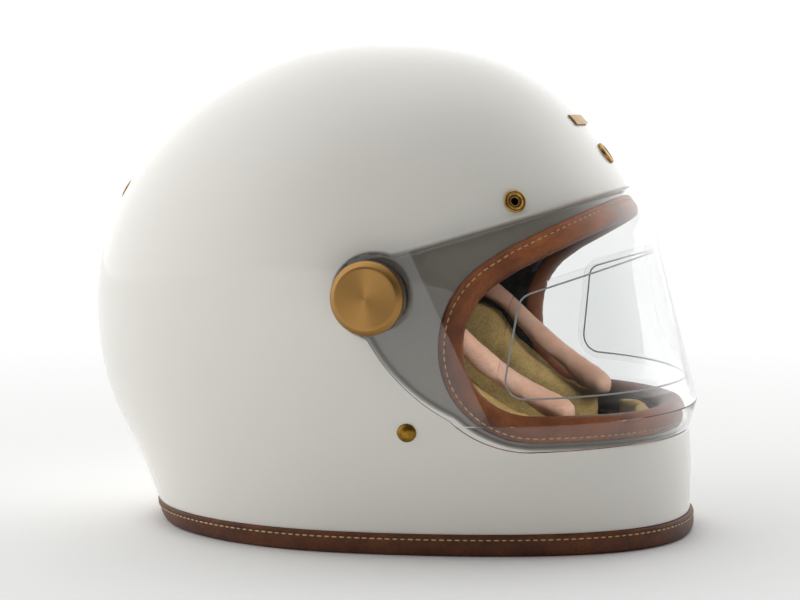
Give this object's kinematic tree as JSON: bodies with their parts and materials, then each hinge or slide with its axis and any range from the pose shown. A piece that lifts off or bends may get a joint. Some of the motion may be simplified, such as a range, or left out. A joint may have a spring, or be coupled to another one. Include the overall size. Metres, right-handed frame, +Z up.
{
  "type": "motorcycle helmet",
  "caption": "Full-face motorcycle helmet with clear flip-up visor on thumb screws, leather trims, padded liner, vents and D-ring chin strap.",
  "frame": {"origin": "middle of the footprint, on the surface that the neck trim rests on", "axes": "+X the way the wearer faces, +Y the wearer's left, +Z up"},
  "size_m": [0.3431, 0.2796, 0.27],
  "materials": {
    "shell": "gloss lacquer over moulded fibre composite",
    "foam": "moulded bead foam",
    "suede": "olive tan suede",
    "lining_leather": "soft natural lining leather",
    "trim_leather": "cognac brown leather, stitched",
    "clear": "clear hard-coated polycarbonate",
    "brass": "brushed, lacquered",
    "black_nylon": "moulded nylon",
    "steel": "bright steel",
    "webbing": "woven nylon webbing"
  },
  "bodies": {
    "helmet": {"outer_shell": "shell", "foam_liner": "foam", "chin_foam": "foam", "crown_pad": "suede", "rear_pad": "suede", "brow_pad": "suede", "chin_pad": "suede", "neck_roll": "lining_leather", "eyeport_trim": "trim_leather", "neck_trim": "trim_leather", "brow_badge": "brass", "brow_plate": "brass", "cheek_pad_left": "suede", "cheek_pad_right": "suede", "cheek_bolster_left": "lining_leather", "cheek_bolster_right": "lining_leather", "pivot_washer_left": "black_nylon", "pivot_washer_right": "black_nylon", "pivot_insert_left": "brass", "pivot_insert_right": "brass", "ratchet_ring_left": "black_nylon", "ratchet_ring_right": "black_nylon", "front_vent_left": "brass", "front_vent_right": "brass", "rear_vent_left": "brass", "rear_vent_right": "brass", "front_vent_tube_left": "black_nylon", "front_vent_tube_right": "black_nylon", "rear_vent_tube_left": "black_nylon", "rear_vent_tube_right": "black_nylon", "strap_rivet_left": "brass", "strap_rivet_right": "brass", "strap_hanger_left": "steel", "strap_hanger_right": "steel"},
    "visor": {"visor": "clear", "visor_insert": "clear"},
    "knob_left": {"knob_left": "brass"},
    "knob_right": {"knob_right": "brass"},
    "ring_strap": {"ring_strap": "webbing"},
    "tail_strap": {"tail_strap": "webbing", "strap_snap": "steel"},
    "d_ring_outer": {"d_ring_outer": "steel"},
    "d_ring_inner": {"d_ring_inner": "steel"}
  },
  "joints": [
    {"name": "visor_hinge", "type": "hinge", "parent": "helmet", "child": "visor", "pos_m": [0.0232, 0, 0.138], "axis": [0, -1, 0], "range_deg": [0, 35]},
    {"name": "knob_left_turn", "type": "hinge", "parent": "helmet", "child": "knob_left", "pos_m": [0.0232, 0.13, 0.138], "axis": [0, 1, 0], "continuous": true},
    {"name": "knob_right_turn", "type": "hinge", "parent": "helmet", "child": "knob_right", "pos_m": [0.0232, -0.13, 0.138], "axis": [0, -1, 0], "continuous": true},
    {"name": "ring_strap_swing", "type": "hinge", "parent": "helmet", "child": "ring_strap", "pos_m": [0.0372, -0.0906, 0.0673], "axis": [0, 1, 0], "range_deg": [-8, 8]},
    {"name": "tail_strap_swing", "type": "hinge", "parent": "helmet", "child": "tail_strap", "pos_m": [0.0372, 0.0906, 0.0673], "axis": [0, 1, 0], "range_deg": [-8, 8]},
    {"name": "d_ring_outer_swing", "type": "hinge", "parent": "ring_strap", "child": "d_ring_outer", "pos_m": [0.0372, -0.038, 0.0073], "axis": [1, 0, 0], "range_deg": [0, 60]},
    {"name": "d_ring_inner_swing", "type": "hinge", "parent": "ring_strap", "child": "d_ring_inner", "pos_m": [0.0372, -0.0432, 0.0108], "axis": [1, 0, 0], "range_deg": [0, 60]}
  ],
  "couplings": [
    {"joint": "d_ring_inner_swing", "follows": "d_ring_outer_swing", "ratio": 1}
  ]
}
